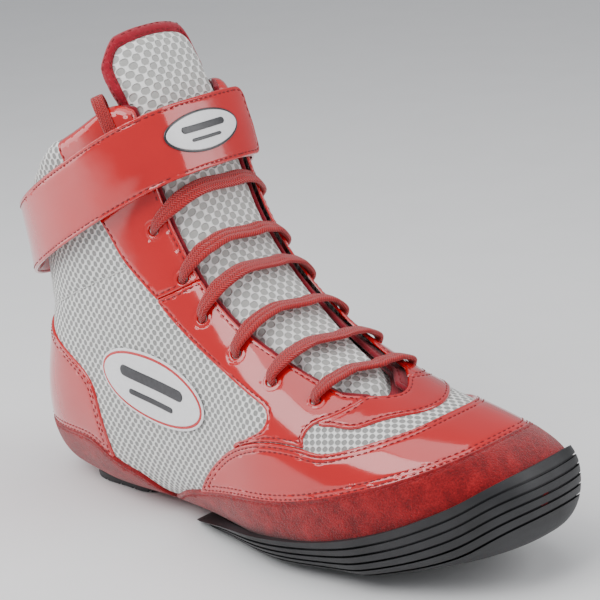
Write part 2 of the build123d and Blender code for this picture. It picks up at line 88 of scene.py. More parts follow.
# ---------------------------------------------------------------- curves and the foot form

def natural_spline(values, at):
    """A natural cubic spline through values at 0, 1, 2 and so on, read at the places in at."""
    values = np.asarray(values, float)
    count = len(values)
    system = np.eye(count)
    right = np.zeros_like(values)
    for i in range(1, count - 1):
        system[i, i - 1:i + 2] = (1, 4, 1)
        right[i] = 6 * (values[i + 1] - 2 * values[i] + values[i - 1])
    bend = np.linalg.solve(system, right)
    index = np.clip(np.floor(at).astype(int), 0, count - 2)
    f = (at - index).reshape(-1, *[1] * (values.ndim - 1))
    g = 1 - f
    return (values[index] * g + values[index + 1] * f
            + (g ** 3 - g) * bend[index] / 6 + (f ** 3 - f) * bend[index + 1] / 6)


def arc_length(line):
    """Distance from the start to each point of a line."""
    return np.concatenate([[0], np.cumsum(np.linalg.norm(np.diff(line, axis=0), axis=1))])


def read_at(values, length, at):
    """Rows of values, three numbers each, read at the given distances."""
    return np.stack([np.interp(at, length, values[:, k]) for k in range(3)], axis=1)


def unit(vectors):
    return vectors / np.linalg.norm(vectors, axis=1, keepdims=True)


def square_to(vectors, axis):
    """The part of each vector that lies across its axis, one long."""
    return unit(vectors - axis * np.sum(vectors * axis, axis=1, keepdims=True))


def quarter_round(share):
    """Height of a quarter circle, from 0 at its edge to 1 where it ends."""
    return np.sqrt(np.maximum(1 - (1 - np.clip(share, 0, 1)) ** 2, 0))


def smooth_line(points, step=2.5):
    """Points every few millimetres along a smooth curve through the given ones."""
    points = np.asarray(points, float)
    if len(points) < 3:
        return points
    chord = arc_length(points)
    count = max(int(chord[-1] / step), 4)
    want = np.linspace(0, chord[-1], count + 1)
    return natural_spline(points, np.interp(want, chord, np.arange(len(points))))


def slice_ring(rows, grow, below, half_points):
    """Points (rows, 2 * half_points, 3) round slices: top centre, lateral side, bottom, medial side."""
    bx, bz, tx, tz, lateral, medial, middle, share, square_low, square_high = [
        rows[:, [i]] for i in range(10)]
    height = np.hypot(tx - bx, tz - bz)
    ux, uz = (tx - bx) / height, (tz - bz) / height
    low = height * share + grow + below
    high = height * (1 - share) + grow
    angle = np.linspace(0, math.pi, 181)[None, :]
    c, s = np.cos(angle), np.maximum(np.sin(angle), 0)
    square = np.where(c >= 0, square_high, square_low)
    v = height * share + np.where(c >= 0, high, low) * np.sign(c) * np.abs(c) ** (2 / square)
    halves = []
    for side, width in ((-1, lateral + grow), (1, medial + grow)):
        y = middle + side * width * s ** (2 / square)
        length = np.cumsum(np.hypot(np.diff(y, axis=1), np.diff(v, axis=1)), axis=1)
        length = np.concatenate([np.zeros((len(rows), 1)), length], axis=1)
        half = np.empty((len(rows), half_points + 1, 2))
        for k in range(len(rows)):
            want = np.linspace(0, length[k, -1], half_points + 1)
            half[k, :, 0] = np.interp(want, length[k], y[k])
            half[k, :, 1] = np.interp(want, length[k], v[k])
        halves.append(half[:, :-1] if side < 0 else half[:, :0:-1])
    yv = np.concatenate(halves, axis=1)
    return np.stack([bx + ux * yv[..., 1], yv[..., 0], bz + uz * yv[..., 1]], axis=-1)


def smoothstep(value, start, end):
    t = np.clip((value - start) / (end - start), 0, 1)
    return t * t * (3 - 2 * t)


class Skin:
    """A grid over the foot form at one distance from it, with outward normals and arc lengths."""

    def __init__(self, grow, below=0.0, first=0.0, last=22.0, rows=ROWS_PER_SLICE, half=HALF_COLUMNS):
        self.index = np.linspace(first, last, int((last - first) * rows) + 1)
        table = natural_spline(SLICES, self.index)
        points = slice_ring(table, grow, below, half)
        points[..., 0] += (np.interp(self.index, [0, 1, 2, 3], NOSE_SHIFT + [0.0]) * grow)[:, None]
        if first == 0:
            turn = np.sin(np.linspace(0.04, 1.0, 7)[:-1] * math.pi / 2)[:, None, None]
            tip = points[0].mean(axis=0)
            cap = tip + (points[0] - tip) * turn
            cap[..., 0] += 3.0 * np.sqrt(1 - turn[..., 0] ** 2)
            points = np.concatenate([cap, points])
            self.index = np.concatenate([np.zeros(6), self.index])
        self.points = points
        along = np.gradient(points, axis=0)
        around = (np.roll(points, -1, axis=1) - np.roll(points, 1, axis=1)) / 2
        normal = np.cross(around, along)
        self.normals = normal / np.maximum(np.linalg.norm(normal, axis=2, keepdims=True), 1e-9)
        centre = points.mean(axis=1, keepdims=True)
        if np.mean(np.sum(self.normals * (points - centre), axis=2)) < 0:
            self.normals = -self.normals
        self.along, self.around = along, around
        step_u = np.linalg.norm(np.roll(points, -1, axis=1) - points, axis=2)
        arc_u = np.concatenate([np.zeros((len(points), 1)), np.cumsum(step_u, axis=1)[:, :-1]], axis=1)
        total = step_u.sum(axis=1, keepdims=True)
        self.u = np.where(np.arange(points.shape[1])[None, :] > half, arc_u - total, arc_u)
        step_v = np.linalg.norm(np.diff(points, axis=0), axis=2)
        self.v = np.concatenate([np.zeros((1, points.shape[1])), np.cumsum(step_v, axis=0)])

    def true_distance(self, field):
        """A flat signed distance turned into distance along the skin near its zero line."""
        along = np.gradient(field, axis=0)
        around = (np.roll(field, -1, axis=1) - np.roll(field, 1, axis=1)) / 2
        g11 = np.sum(self.along ** 2, axis=2)
        g22 = np.sum(self.around ** 2, axis=2)
        g12 = np.sum(self.along * self.around, axis=2)
        det = np.maximum(g11 * g22 - g12 ** 2, 1e-9)
        square = (g22 * along ** 2 - 2 * g12 * along * around + g11 * around ** 2) / det
        return field / np.clip(np.sqrt(np.maximum(square, 0)), 0.35, 1.5)

    def region(self, view, curves):
        """Signed distance (inside is positive) to an outline seen from the side, top, front or throat."""
        x, y, z = self.points[..., 0], self.points[..., 1], self.points[..., 2]
        front_x, front_z = x - THROAT_FRONT[0], z - THROAT_FRONT[1]
        up = front_x * THROAT_UP[0] + front_z * THROAT_UP[1]
        a, b = {"side": (x, z), "top": (x, y), "front": (y, z), "throat": (up, y)}[view]
        line = np.concatenate([smooth_line(curve) for curve in curves])
        a, b = a.astype(np.float32), b.astype(np.float32)
        nearest = np.full(a.shape, 1e9, np.float32)
        inside = np.zeros(a.shape, bool)
        for (p, q), (r, s) in zip(line, np.roll(line, -1, axis=0)):
            dx, dy = r - p, s - q
            long = dx * dx + dy * dy
            if long < 1e-6:
                continue
            t = np.clip(((a - p) * dx + (b - q) * dy) / long, 0, 1)
            nearest = np.minimum(nearest, (a - p - t * dx) ** 2 + (b - q - t * dy) ** 2)
            if abs(dy) > 1e-9:
                crossing = ((q > b) != (s > b)) & (a < dx * (b - q) / dy + p)
                inside ^= crossing
        distance = np.where(inside, 1, -1) * np.sqrt(nearest)
        if view == "throat":
            # The throat cut reaches only this deep, so it leaves the heel side whole.
            out = front_x * THROAT_OUT[0] + front_z * THROAT_OUT[1]
            distance = np.minimum(distance, out + THROAT_DEPTH)
        return self.true_distance(distance)


def corners(*points):
    return [[point] for point in points]


def below_line(line, lift=0.0):
    """Outline of everything under a side-view line."""
    line = [(x, z + lift) for x, z in line]
    return [line] + corners((320, line[-1][1]), (320, -20), (-40, -20), (-40, line[0][1]))


def rounded_corner(a, b, radius):
    """The overlap of two fields with its corner rounded."""
    inner = radius - np.hypot(np.maximum(radius - a, 0), np.maximum(radius - b, 0))
    return np.where((a < radius) & (b < radius), inner, np.minimum(a, b))


# ---------------------------------------------------------------- outlines, as in the CAD model

TOP_LINE = [
    [(-20, 139), (0, 142), (11.5, 148.5), (24, 158), (37, 169), (45, 174.5), (51.7, 176.5)],
    [(51.7, 176.5), (66.5, 184.2), (78.4, 191.5), (86, 195), (92, 194.7), (98, 191.5)],
] + corners((120, 200), (320, 200), (320, -20), (-40, -20), (-40, 139))
SLOT = [(12, 19.5), (30, 22.5), (55, 26.0), (80, 27.5), (110, 27.5), (150, 27.0), (215, 26.0)]
FLOOR = [(-6, 24), (3, 14), (28, 9.5), (54, 9), (84, 10.5), (113, 11.5), (140, 11.5), (165, 12),
         (190, 13.5), (216, 16.5), (240, 20.5), (259, 25.5), (273, 30.5), (281, 35)]
HEEL_BAND = [[(-20, 31), (9, 30), (42, 32), (57, 29.5), (70, 23.5), (84, 19), (94.8, 9.5)]] + corners(
    (94.8, -20), (-40, -20), (-40, 31))
TOE_BAND = [[(95.2, 9.5), (108, 16), (121, 22), (153, 30), (178, 34), (200, 38.6), (221.5, 45),
             (237, 50), (252.5, 55.5), (261, 59), (267, 62), (271, 66)]] + corners(
    (272, 80), (320, 80), (320, -20), (95.2, -20))
COUNTER = [[(-20, 84), (5, 83), (18, 81), (30, 77.5), (40, 73), (51, 67.5), (58.5, 60),
            (61, 50), (63.5, 38), (66.5, 20)]] + corners((66.5, -20), (-40, -20), (-40, 84))
OVERLAY = [[(126, 20), (138, 36), (153, 49), (168, 56.5), (181, 59.5), (192, 59.8), (200, 59.2),
            (207, 58.6), (217, 60.6), (231, 64.8), (240, 68), (246, 72)]] + corners(
    (247, 90), (320, 90), (320, -20), (126, -20))
COLLAR_SEAM = [[(-20, 88), (5, 88.5), (29.7, 94.4), (57, 107), (84, 119), (100, 126)]] + corners(
    (110, 240), (-40, 240), (-40, 88))
OVERLAP = [(109, 110), (122, 116.3), (135, 124)]
LOWER_STAY = [
    OVERLAP[::-1],
    [(109, 110), (118.7, 101), (137, 89.3), (154.6, 80.6), (169, 75), (175.8, 71.7), (177.3, 67.7),
     (173.5, 62.4), (158, 54)],
    [(158, 52.2), (168, 56.8), (181, 59.8), (192, 60.1), (198.6, 59.6)],
    [(197.2, 63), (198.0, 66.5), (201, 69.2), (206, 71), (209.5, 73.5)],
] + corners((212, 90), (160, 150))
UPPER_STAY = [OVERLAP] + corners((150, 160), (118, 215)) + [
    [(98, 215), (60, 205), (51.7, 176.5), (66, 156), (78.6, 138.9), (88.8, 125.5), (102.3, 115.2),
     (108.8, 110.6)]]
THROAT = [[(203, -36), (208, -33.5), (217, -29.5), (224, -19.7), (231.5, -7), (233.5, 3), (231.5, 13),
           (224, 24), (214, 33), (203, 38)]] + corners((201, 38), (201, -36))
TONGUE_REAR = [(216, 56), (182, 66), (160, 77), (142, 88), (126, 101), (114, 114), (106, 127),
               (101, 139), (97, 150), (92, 168), (87, 182), (79, 197), (70, 214), (62, 232)]
TIP = [(-30.5, 195), (-31, 203), (-28, 213.5), (-17, 221.5), (0, 224), (17, 221.5),
       (28, 213.5), (31, 203), (30.5, 195)]


def slot_outline(inset, front):
    left = [(a + inset * 0.95, -(w - inset)) for a, w in SLOT]
    right = [(a, -w) for a, w in left]
    return [left[::-1], [left[0], (front, 0.0), right[0]], right]


EYELETS = [(5.8, 0.215), (6.8, 0.235), (7.9, 0.24), (9.15, 0.235), (10.3, 0.20), (12.5, 0.185)]
MEDIAL_SHIFT = -0.12
EYELET_RADIUS = 2.3


def on_form(row, share, side, grow):
    """A point on the grown form: slice number, share of the half slice from the top, and side."""
    index = int(math.floor(row))
    blend = row - index
    place = share * 14
    low = int(math.floor(place))
    part = place - low
    rings = slice_ring(SLICES[index:index + 2], grow, 0.0, 14)
    first, second = (low, low + 1) if side < 0 else (-low % 28, (-low - 1) % 28)
    found = rings[:, first] * (1 - part) + rings[:, second] * part
    return found[0] * (1 - blend) + found[1] * blend


eyelets = [on_form(row + (MEDIAL_SHIFT if side > 0 else 0.0), share, side, 0.8)
           for row, share in EYELETS for side in (-1, 1)]


def round_eyelets(skin, radius=EYELET_RADIUS):
    """Distance from the nearest eyelet's edge, positive outside it."""
    gaps = [np.linalg.norm(skin.points - centre, axis=2) - radius for centre in eyelets]
    return np.minimum.reduce(gaps)


# ---------------------------------------------------------------- meshes

def split(points, faces, column, level, snap=0.1):
    """Cuts triangles where one column of the points crosses a level."""
    near = np.abs(points[:, column] - level) < snap
    points[near, column] = level
    above = points[:, column] > level
    count = above[faces].sum(axis=1)
    low = points[faces, column].min(axis=1)
    crossed = (count > 0) & (count < 3) & (low < level)
    kept, odd = faces[~crossed], faces[crossed]
    if not len(odd):
        return points, faces
    over = above[odd]
    lone = np.where(over.sum(axis=1) == 1, over.argmax(axis=1), (~over).argmax(axis=1))
    pick = np.arange(len(odd))
    odd = np.stack([odd[pick, lone], odd[pick, (lone + 1) % 3], odd[pick, (lone + 2) % 3]], axis=1)
    pairs = np.sort(np.concatenate([odd[:, [0, 1]], odd[:, [0, 2]]]), axis=1)
    edges, place = np.unique(pairs, axis=0, return_inverse=True)
    place = place.reshape(-1)
    start, end = points[edges[:, 0]], points[edges[:, 1]]
    share = (level - start[:, column]) / (end[:, column] - start[:, column])
    share = np.clip(share, 0, 1)[:, None]
    fresh = start + (end - start) * share
    fresh[:, column] = level
    one, two = np.split(place + len(points), 2)
    parts = [kept, np.stack([odd[:, 0], one, two], axis=1), np.stack([one, odd[:, 1], odd[:, 2]], axis=1),
             np.stack([one, odd[:, 2], two], axis=1)]
    faces = np.concatenate(parts)
    solid = (faces[:, 0] != faces[:, 1]) & (faces[:, 1] != faces[:, 2]) & (faces[:, 0] != faces[:, 2])
    return np.concatenate([points, fresh]), faces[solid]


def drop_unused(points, faces):
    used, place = np.unique(faces, return_inverse=True)
    return points[used], place.reshape(faces.shape)


def vertex_normals(places, faces):
    across = np.cross(places[faces[:, 1]] - places[faces[:, 0]], places[faces[:, 2]] - places[faces[:, 0]])
    total = np.zeros_like(places)
    for corner in range(3):
        np.add.at(total, faces[:, corner], across)
    return total / np.maximum(np.linalg.norm(total, axis=1, keepdims=True), 1e-12)


def add_object(name, data):
    piece = bpy.data.objects.new(name, data)
    bpy.context.scene.collection.objects.link(piece)
    return piece


def new_object(name, places, faces, material, uv=None, normals=None):
    """A mesh object from boot millimetres, smooth shaded, with a flat map in millimetres."""
    mesh = bpy.data.meshes.new(name)
    mesh.from_pydata(((places - CENTRE) * MM).tolist(), [], [list(map(int, face)) for face in faces])
    mesh.polygons.foreach_set("use_smooth", np.ones(len(mesh.polygons), bool))
    if uv is not None:
        layer = mesh.uv_layers.new(name="Flat")
        loops = np.empty(len(mesh.loops), np.int32)
        mesh.loops.foreach_get("vertex_index", loops)
        layer.data.foreach_set("uv", uv[loops].astype(np.float32).ravel())
    if normals is not None:
        mesh.normals_split_custom_set_from_vertices(normals.tolist())
    mesh.materials.append(material)
    return add_object(name, mesh)


def flatten(piece):
    """Lays a cloth piece flat with little stretch and scales its map to millimetres, upright."""
    bpy.context.view_layer.objects.active = piece
    piece.select_set(True)
    bpy.ops.object.mode_set(mode="EDIT")
    bpy.ops.mesh.select_all(action="SELECT")
    bpy.ops.uv.unwrap(method="CONFORMAL", margin=0.0)
    bpy.ops.object.mode_set(mode="OBJECT")
    piece.select_set(False)
    mesh = piece.data
    places = np.empty(len(mesh.vertices) * 3)
    mesh.vertices.foreach_get("co", places)
    corners_of = np.empty(len(mesh.loops), np.int32)
    mesh.loops.foreach_get("vertex_index", corners_of)
    at = places.reshape(-1, 3)[corners_of].reshape(-1, 3, 3) / MM
    flat = np.empty(len(mesh.loops) * 2)
    mesh.uv_layers["Flat"].data.foreach_get("uv", flat)
    uv = flat.reshape(-1, 3, 2)
    solid = np.linalg.norm(np.cross(at[:, 1] - at[:, 0], at[:, 2] - at[:, 0]), axis=1).sum()
    one, two = uv[:, 1] - uv[:, 0], uv[:, 2] - uv[:, 0]
    paper = np.abs(one[:, 0] * two[:, 1] - one[:, 1] * two[:, 0]).sum()
    uv = uv.reshape(-1, 2) * math.sqrt(solid / paper)
    uv -= uv.mean(axis=0)
    rise = np.linalg.lstsq(uv, at.reshape(-1, 3)[:, 2] - at[..., 2].mean(), rcond=None)[0]
    rise /= np.linalg.norm(rise)
    turned = np.stack([uv[:, 0] * rise[1] - uv[:, 1] * rise[0], uv @ rise], axis=1)
    mesh.uv_layers["Flat"].data.foreach_set("uv", turned.astype(np.float32).ravel())


def grid_faces(rows, columns):
    """Two triangles for each cell of a grid whose columns close into a ring."""
    i, j = np.meshgrid(np.arange(rows - 1), np.arange(columns), indexing="ij")
    a, b = i * columns + j, i * columns + (j + 1) % columns
    c, d = a + columns, b + columns
    return np.concatenate([np.stack([a, b, d], -1).reshape(-1, 3), np.stack([a, d, c], -1).reshape(-1, 3)])


# Columns of a panel's table of points: place, normal, map, then these.
PLACE = slice(0, 3)
NORMAL = slice(3, 6)
MAP = slice(6, 8)
FIELD, LOW, THICK, SINK = 8, 9, 10, 11
FAR = 99.0              # a field value that never cuts
CURL = 4.5              # radius of the curl along a sunk edge


class Panel:
    """A sheet cut from a skin along a field, with a rounded edge and pressed seam lines."""

    def __init__(self, skin, field, thick, low=0.0, radius=0.9, closed=False, inward=False,
                 seams=(), sink=None, seam_depth=0.22):
        shape = field.shape
        sink = np.full(shape, FAR) if sink is None else sink
        stack = [skin.points, skin.normals, skin.u, skin.v, field, np.broadcast_to(low, shape),
                 np.broadcast_to(thick, shape), sink]
        stack = [part.reshape(shape[0] * shape[1], -1) for part in stack]
        points = np.concatenate(stack, axis=1).astype(float)
        faces = grid_faces(*shape)
        faces = faces[points[faces, FIELD].max(axis=1) > 0]
        points, faces = drop_unused(points, faces)
        corner = points[faces, PLACE]
        turn = np.cross(corner[:, 1] - corner[:, 0], corner[:, 2] - corner[:, 0])
        if np.sum(turn * points[faces[:, 0], NORMAL]) < 0:
            faces = faces[:, ::-1]
        levels = {0.0, radius * 0.07, radius * 0.29, radius * 0.62, radius}
        for seam in seams:
            levels |= {seam - 0.6, seam, seam + 0.6}
        for level in sorted(levels):
            points, faces = split(points, faces, FIELD, level, min(0.1, radius * 0.03))
        faces = faces[points[faces, FIELD].min(axis=1) >= -1e-9]
        if sink.min() < FAR:
            for level in (0.0, 0.3, 1.2, 2.6, CURL):
                points, faces = split(points, faces, SINK, level, 0.08)
            faces = faces[points[faces, SINK].min(axis=1) >= -1e-9]
        self.points, self.faces = drop_unused(points, faces)
        p = self.points
        rise = quarter_round(p[:, FIELD] / radius)
        fall = CURL * (quarter_round(p[:, SINK] / CURL) - 1)
        press = sum((seam_depth * np.exp(-((p[:, FIELD] - seam) / 0.55) ** 2) for seam in seams), 0.0)
        way = -1.0 if inward else 1.0
        if closed:
            middle = p[:, LOW] + p[:, THICK] / 2
            self.top = p[:, PLACE] + p[:, NORMAL] * (middle + rise * p[:, THICK] / 2 - press + fall)[:, None]
            self.back = p[:, PLACE] + p[:, NORMAL] * (middle - rise * p[:, THICK] / 2 + press + fall)[:, None]
        else:
            height = way * (p[:, LOW] + rise * p[:, THICK] - press + fall)
            self.top = p[:, PLACE] + p[:, NORMAL] * height[:, None]
            self.back = None
        self.inward = inward

    def build(self, name, material, select=None):
        """Makes the object; select keeps only the faces whose centres pass the test."""
        places, faces, uv = self.top, self.faces, self.points[:, MAP]
        if self.inward:
            faces = faces[:, ::-1]
        if self.back is not None:
            edge = self.points[:, FIELD] <= 1e-9
            twin = np.where(edge, np.arange(len(places)), np.arange(len(places)) + len(places))
            faces = np.concatenate([faces, twin[faces][:, ::-1]])
            places = np.concatenate([places, self.back])
            uv = np.concatenate([uv, uv])
        normals = vertex_normals(places, faces)
        if select is not None:
            faces = faces[select(places[faces].mean(axis=1))]
        used, place = np.unique(faces, return_inverse=True)
        return new_object(name, places[used], place.reshape(faces.shape), material, uv[used],
                          normals[used] if select is not None else None)

    def seam_paths(self, seam):
        """Chains of top-side points along one seam, with normals."""
        on = np.abs(self.points[:, FIELD] - seam) < 1e-9
        edges = np.concatenate([self.faces[:, [0, 1]], self.faces[:, [1, 2]], self.faces[:, [2, 0]]])
        edges = np.unique(np.sort(edges[on[edges].all(axis=1)], axis=1), axis=0)
        near = {}
        for a, b in edges.tolist():
            near.setdefault(a, []).append(b)
            near.setdefault(b, []).append(a)
        left = {tuple(edge) for edge in edges.tolist()}
        starts = [k for k, v in near.items() if len(v) != 2] + list(near)
        paths = []
        for start in starts:
            for step in near[start]:
                if (min(start, step), max(start, step)) not in left:
                    continue
                chain, before, here = [start], start, step
                left.discard((min(start, step), max(start, step)))
                while True:
                    chain.append(here)
                    onward = [n for n in near[here] if (min(here, n), max(here, n)) in left]
                    if not onward:
                        break
                    before, here = here, onward[0]
                    left.discard((min(before, here), max(before, here)))
                paths.append(chain)
        return [(self.top[chain], self.points[chain, NORMAL]) for chain in paths if len(chain) > 3]


STITCH_PITCH = 2.9
STITCH_LENGTH = 2.15


def stitches(name, paths, material, where=None):
    """Short arched threads along the paths, made as one object."""
    sides = 6
    ring_at = np.array([-1.0, -0.72, 0.0, 0.72, 1.0]) * STITCH_LENGTH / 2
    ring_radius = np.array([0.13, 0.25, 0.29, 0.25, 0.13])
    ring_lift = np.array([-0.24, 0.05, 0.14, 0.05, -0.24])
    angle = np.arange(sides) * 2 * math.pi / sides
    template = np.array([(x, r * math.cos(a), lift + r * math.sin(a))
                         for x, r, lift in zip(ring_at, ring_radius, ring_lift) for a in angle])
    quads = [(k * sides + j, k * sides + (j + 1) % sides, (k + 1) * sides + (j + 1) % sides,
              (k + 1) * sides + j) for k in range(4) for j in range(sides)]
    quads += [tuple(range(sides))[::-1][:4], tuple(range(4 * sides, 4 * sides + 4))]
    places = []
    for line, normals in paths:
        length = arc_length(line)
        count = int(length[-1] / STITCH_PITCH)
        if count < 2:
            continue
        at = (np.arange(count) + 0.5) * length[-1] / count
        spots = read_at(line, length, at)
        ups = read_at(normals, length, at)
        ahead = (read_at(line, length, np.minimum(at + 1, length[-1]))
                 - read_at(line, length, np.maximum(at - 1, 0)))
        if where is not None:
            keep = where(spots)
            spots, ups, ahead = spots[keep], ups[keep], ahead[keep]
        ahead = unit(ahead)
        ups = square_to(ups, ahead)
        across = np.cross(ups, ahead)
        places.append(spots[:, None] + ahead[:, None] * template[None, :, :1]
                      + across[:, None] * template[None, :, 1:2] + ups[:, None] * template[None, :, 2:])
    if not places:
        return None
    places = np.concatenate(places)
    faces = [tuple(int(i + k * len(template)) for i in quad) for k in range(len(places)) for quad in quads]
    return new_object(name, places.reshape(-1, 3), faces, material)


# ---------------------------------------------------------------- materials

class Graph:
    """A material's nodes, made and linked by short calls."""

    def __init__(self, name):
        self.material = bpy.data.materials.new(name)
        self.material.use_nodes = True
        self.tree = self.material.node_tree
        self.shader = self.tree.nodes["Principled BSDF"]

    def add(self, kind, links=None, values=None, **settings):
        node = self.tree.nodes.new("ShaderNode" + kind)
        for key, value in settings.items():
            setattr(node, key, value)
        for key, value in (values or {}).items():
            node.inputs[key].default_value = value
        for key, socket in (links or {}).items():
            self.tree.links.new(socket, node.inputs[key])
        return node

    def link(self, socket, target):
        self.tree.links.new(socket, self.shader.inputs[target])

    def set(self, **values):
        for key, value in values.items():
            self.shader.inputs[key.replace("_", " ")].default_value = value

    def math(self, operation, a, b=None):
        node = self.add("Math", operation=operation)
        for socket, value in zip(node.inputs, (a, b)):
            if isinstance(value, (int, float)):
                socket.default_value = value
            elif value is not None:
                self.tree.links.new(value, socket)
        return node.outputs[0]

    def weighted(self, a, share_a, b, share_b):
        return self.math("ADD", self.math("MULTIPLY", a, share_a), self.math("MULTIPLY", b, share_b))

    def from_cell_middle(self, coordinate, pitch, shift):
        """A power of the distance from the middle of the nearest cell, along one coordinate."""
        cell = self.math("ADD", self.math("DIVIDE", coordinate, pitch), 100 + shift)
        middle = self.math("SUBTRACT", self.math("FRACT", cell), 0.5)
        return self.math("POWER", self.math("ABSOLUTE", self.math("MULTIPLY", middle, pitch)), ROUNDNESS)

    def noise(self, scale, detail=3.0, roughness=0.55):
        place = self.add("TexCoord").outputs["Object"]
        return self.add("TexNoise", {"Vector": place},
                        {"Scale": scale, "Detail": detail, "Roughness": roughness}).outputs["Fac"]

    def ramp(self, socket, stops):
        node = self.add("ValToRGB", {"Fac": socket})
        for position, colour in stops[2:]:
            node.color_ramp.elements.new(position)
        for element, (position, colour) in zip(node.color_ramp.elements, stops):
            element.position = position
            element.color = (*colour, 1.0)
        return node.outputs["Color"]

    def bump(self, *heights):
        normal = None
        for socket, strength, distance in heights:
            node = self.add("Bump", {"Height": socket}, {"Strength": strength, "Distance": distance})
            if normal is not None:
                self.tree.links.new(normal, node.inputs["Normal"])
            normal = node.outputs["Normal"]
        self.link(normal, "Normal")

    def flat_map(self):
        """The flat map's two coordinates in millimetres."""
        node = self.add("UVMap", uv_map="Flat")
        split_node = self.add("SeparateXYZ", {"Vector": node.outputs["UV"]})
        return split_node.outputs["X"], split_node.outputs["Y"]


def patent():
    g = Graph("patent_red")
    broad = g.noise(18.0, 2.0)
    g.link(g.ramp(broad, [(0.3, (0.50, 0.0015, 0.004)), (0.7, (0.60, 0.003, 0.006))]), "Base Color")
    g.set(Roughness=0.16, Coat_Weight=0.85, Coat_Roughness=0.06, Coat_IOR=1.55, Specular_IOR_Level=0.6)
    g.bump((g.noise(55.0, 2.0), 0.30, 0.0012), (g.noise(900.0, 2.0), 0.05, 0.0002))
    return g.material


def suede():
    g = Graph("suede_red")
    nap = g.noise(1300.0, 4.0, 0.7)
    brushed = g.noise(160.0, 4.0, 0.6)
    mixed = g.weighted(nap, 0.55, brushed, 0.45)
    g.link(g.ramp(mixed, [(0.34, (0.09, 0.001, 0.003)), (0.50, (0.24, 0.003, 0.006)),
                          (0.66, (0.44, 0.012, 0.016))]), "Base Color")
    g.set(Roughness=0.95, Sheen_Weight=0.35, Sheen_Roughness=0.5, Specular_IOR_Level=0.15)
    g.bump((nap, 0.9, 0.0006), (brushed, 0.5, 0.0006))
    return g.material


ROUNDNESS = 2.4         # power that shapes each opening of the mesh, 2 for a circle


def open_mesh(name, pitch_u, pitch_v, hole, light, hole_shade):
    """Knitted mesh: rows of staggered openings between rounded threads, with painted shade in the openings.
    """
    g = Graph(name)
    u, v = g.flat_map()
    nearest = None
    for shift in (0.0, 0.5):
        du = g.from_cell_middle(u, pitch_u, shift)
        dv = g.from_cell_middle(v, pitch_v, shift)
        gap = g.math("POWER", g.math("ADD", du, dv), 1 / ROUNDNESS)
        nearest = gap if nearest is None else g.math("MINIMUM", nearest, gap)
    wobble = g.math("MULTIPLY", g.math("SUBTRACT", g.noise(420.0, 2.0), 0.5), 0.5)
    edge = g.add("MapRange", {"Value": g.math("ADD", nearest, wobble)},
                 {"From Min": hole - 0.28, "From Max": hole + 0.30}, interpolation_type="SMOOTHSTEP")
    solid = edge.outputs["Result"]
    fibre = g.noise(2600.0, 3.0, 0.7)
    shade = g.math("MULTIPLY", solid, g.math("ADD", g.math("MULTIPLY", fibre, 0.25), 0.86))
    # painted shade: the openings take the darker colour, standing for the pale backing seen in shadow through
    # them; the fibre noise is the yarn's own tone
    g.link(g.ramp(shade, [(0.0, hole_shade), (0.45, tuple((a + b) / 2 for a, b in zip(hole_shade, light))),
                          (0.95, light)]), "Base Color")
    g.set(Roughness=0.75, Sheen_Weight=0.15, Specular_IOR_Level=0.3)
    g.bump((solid, 0.9, 0.0007), (fibre, 0.35, 0.00015))
    return g.material


def woven(name, low, high, rib_u, rib_v, roughness=0.8):
    """A close weave of threads crossing at the given pitches."""
    g = Graph(name)
    u, v = g.flat_map()
    warp = g.math("SINE", g.math("MULTIPLY", u, 2 * math.pi / rib_u))
    weft = g.math("SINE", g.math("MULTIPLY", v, 2 * math.pi / rib_v))
    cross = g.math("ADD", g.math("MULTIPLY", g.math("MULTIPLY", warp, weft), 0.5), 0.5)
    fluff = g.noise(1500.0, 3.0, 0.65)
    mixed = g.weighted(cross, 0.6, fluff, 0.4)
    g.link(g.ramp(mixed, [(0.2, low), (0.8, high)]), "Base Color")
    g.set(Roughness=roughness, Sheen_Weight=0.25, Specular_IOR_Level=0.2)
    g.bump((cross, 0.6, 0.0003), (fluff, 0.3, 0.0002))
    return g.material


def braid():
    """Flat lace: slanting threads that meet in a herringbone along the middle."""
    g = Graph("lace_red")
    u, v = g.flat_map()
    fold = g.math("PINGPONG", u, 1.27)
    slant = g.math("ADD", v, g.math("MULTIPLY", fold, 1.25))
    wave = g.math("SINE", g.math("MULTIPLY", slant, 2 * math.pi / 1.35))
    thread = g.math("ADD", g.math("MULTIPLY", wave, 0.5), 0.5)
    channel = g.math("SUBTRACT", 1.0, g.math("POWER", g.math("DIVIDE", fold, 1.27), 6.0))
    both = g.math("MULTIPLY", thread, channel)
    fibre = g.noise(2200.0, 3.0, 0.7)
    mixed = g.weighted(both, 0.7, fibre, 0.3)
    # painted shade: the grooves between the slanting threads and along the channel lines take the darkest
    # red; the fibre noise is the lace's own tone
    g.link(g.ramp(mixed, [(0.1, (0.20, 0.001, 0.002)), (0.45, (0.54, 0.003, 0.004)),
                          (0.9, (0.74, 0.008, 0.009))]), "Base Color")
    g.set(Roughness=0.62, Sheen_Weight=0.3, Specular_IOR_Level=0.3)
    g.bump((both, 1.0, 0.00055), (fibre, 0.3, 0.00015))
    return g.material


def rubber():
    g = Graph("rubber_black")
    cloud = g.noise(60.0, 3.0)
    g.link(g.ramp(cloud, [(0.3, (0.010, 0.010, 0.011)), (0.75, (0.026, 0.026, 0.029))]), "Base Color")
    g.link(g.ramp(g.noise(25.0, 2.0), [(0.3, (0.42,) * 3), (0.7, (0.58,) * 3)]), "Roughness")
    g.bump((g.noise(1100.0, 3.0), 0.25, 0.0003), (cloud, 0.15, 0.0008))
    return g.material


def plain(name, low, high, roughness, scale=400.0, strength=0.2, distance=0.0003, **more):
    g = Graph(name)
    grain = g.noise(scale, 3.0)
    g.link(g.ramp(grain, [(0.3, low), (0.7, high)]), "Base Color")
    g.set(Roughness=roughness, **more)
    g.bump((grain, strength, distance))
    return g.material


